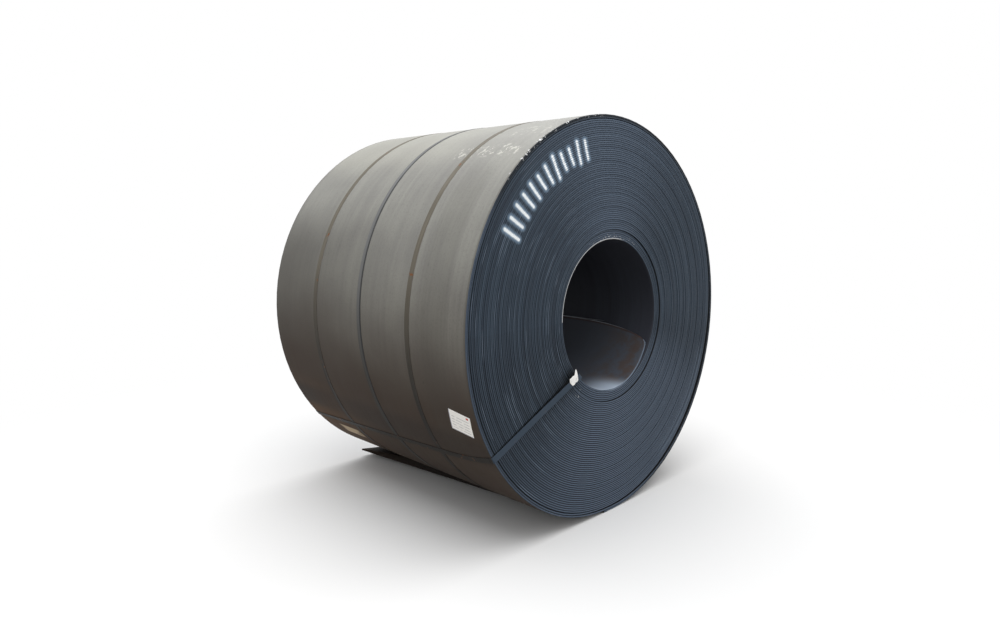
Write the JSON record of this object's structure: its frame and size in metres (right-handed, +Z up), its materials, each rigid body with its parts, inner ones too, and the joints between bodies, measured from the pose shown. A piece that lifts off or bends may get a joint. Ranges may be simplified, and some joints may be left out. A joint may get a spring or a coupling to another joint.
{
  "type": "steel coil",
  "caption": "Hot-rolled steel strip wound into a coil with an open bore, lying on its side, held by flat steel straps round its girth and through its bore.",
  "frame": {"origin": "on the floor under the middle of the coil, at the underside of the girth straps", "axes": "+Y along the coil's axis from the marked face to the far face, +X to the right seen from the marked face, +Z up"},
  "size_m": [2.0016, 1.5858, 2.0017],
  "materials": {
    "mill_scale": "hot-rolled mill scale, satin",
    "strap_steel": "dull waxed strapping steel",
    "label_paper": "matt white paper",
    "tag_paper": "torn white paper"
  },
  "bodies": {
    "root": {"coil": "mill_scale", "girth_strap_front": "strap_steel", "girth_strap_middle": "strap_steel", "girth_strap_rear": "strap_steel", "eye_strap": "strap_steel", "label": "label_paper", "strap_tag": "tag_paper"}
  },
  "joints": []
}
